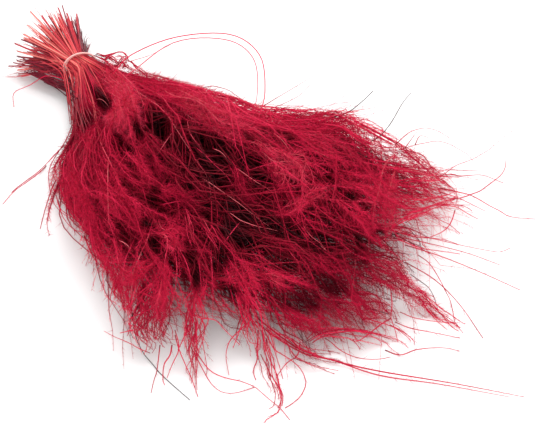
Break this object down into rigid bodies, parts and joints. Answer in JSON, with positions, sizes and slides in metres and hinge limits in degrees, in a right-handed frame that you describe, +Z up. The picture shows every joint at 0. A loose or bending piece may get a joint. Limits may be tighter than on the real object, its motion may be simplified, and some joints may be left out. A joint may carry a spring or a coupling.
{
  "type": "dried feather grass bunch",
  "caption": "Bunch of dyed dried feather grass lying on its side: cut straws held by a doubled rubber band, opening into a wide flat fan of feathery plumes.",
  "frame": {"origin": "bottom centre of the bunch's bounding box, on the surface it lies on", "axes": "+X along the bunch from the cut straws to the plume tips, +Y across the fan, +Z up"},
  "size_m": [0.4828, 0.2954, 0.0759],
  "materials": {
    "dyed_grass": "matt, fibrous, dyed crimson with coral straws",
    "rubber_band": "satin, slightly translucent"
  },
  "bodies": {
    "root": {"spray_01": "dyed_grass", "spray_02": "dyed_grass", "spray_03": "dyed_grass", "spray_04": "dyed_grass", "spray_05": "dyed_grass", "spray_06": "dyed_grass", "spray_07": "dyed_grass", "spray_08": "dyed_grass", "spray_09": "dyed_grass", "spray_10": "dyed_grass", "spray_11": "dyed_grass", "spray_12": "dyed_grass", "spray_13": "dyed_grass", "spray_14": "dyed_grass", "spray_15": "dyed_grass", "spray_16": "dyed_grass", "spray_17": "dyed_grass", "spray_18": "dyed_grass", "spray_19": "dyed_grass", "spray_20": "dyed_grass", "spray_21": "dyed_grass", "spray_22": "dyed_grass", "spray_23": "dyed_grass", "spray_24": "dyed_grass", "spray_25": "dyed_grass", "spray_26": "dyed_grass", "spray_27": "dyed_grass", "spray_28": "dyed_grass", "spray_29": "dyed_grass", "spray_30": "dyed_grass", "spray_31": "dyed_grass", "spray_32": "dyed_grass", "spray_33": "dyed_grass", "spray_34": "dyed_grass", "spray_35": "dyed_grass", "spray_36": "dyed_grass", "spray_37": "dyed_grass", "spray_38": "dyed_grass", "spray_39": "dyed_grass", "spray_40": "dyed_grass", "band": "rubber_band"}
  },
  "joints": []
}
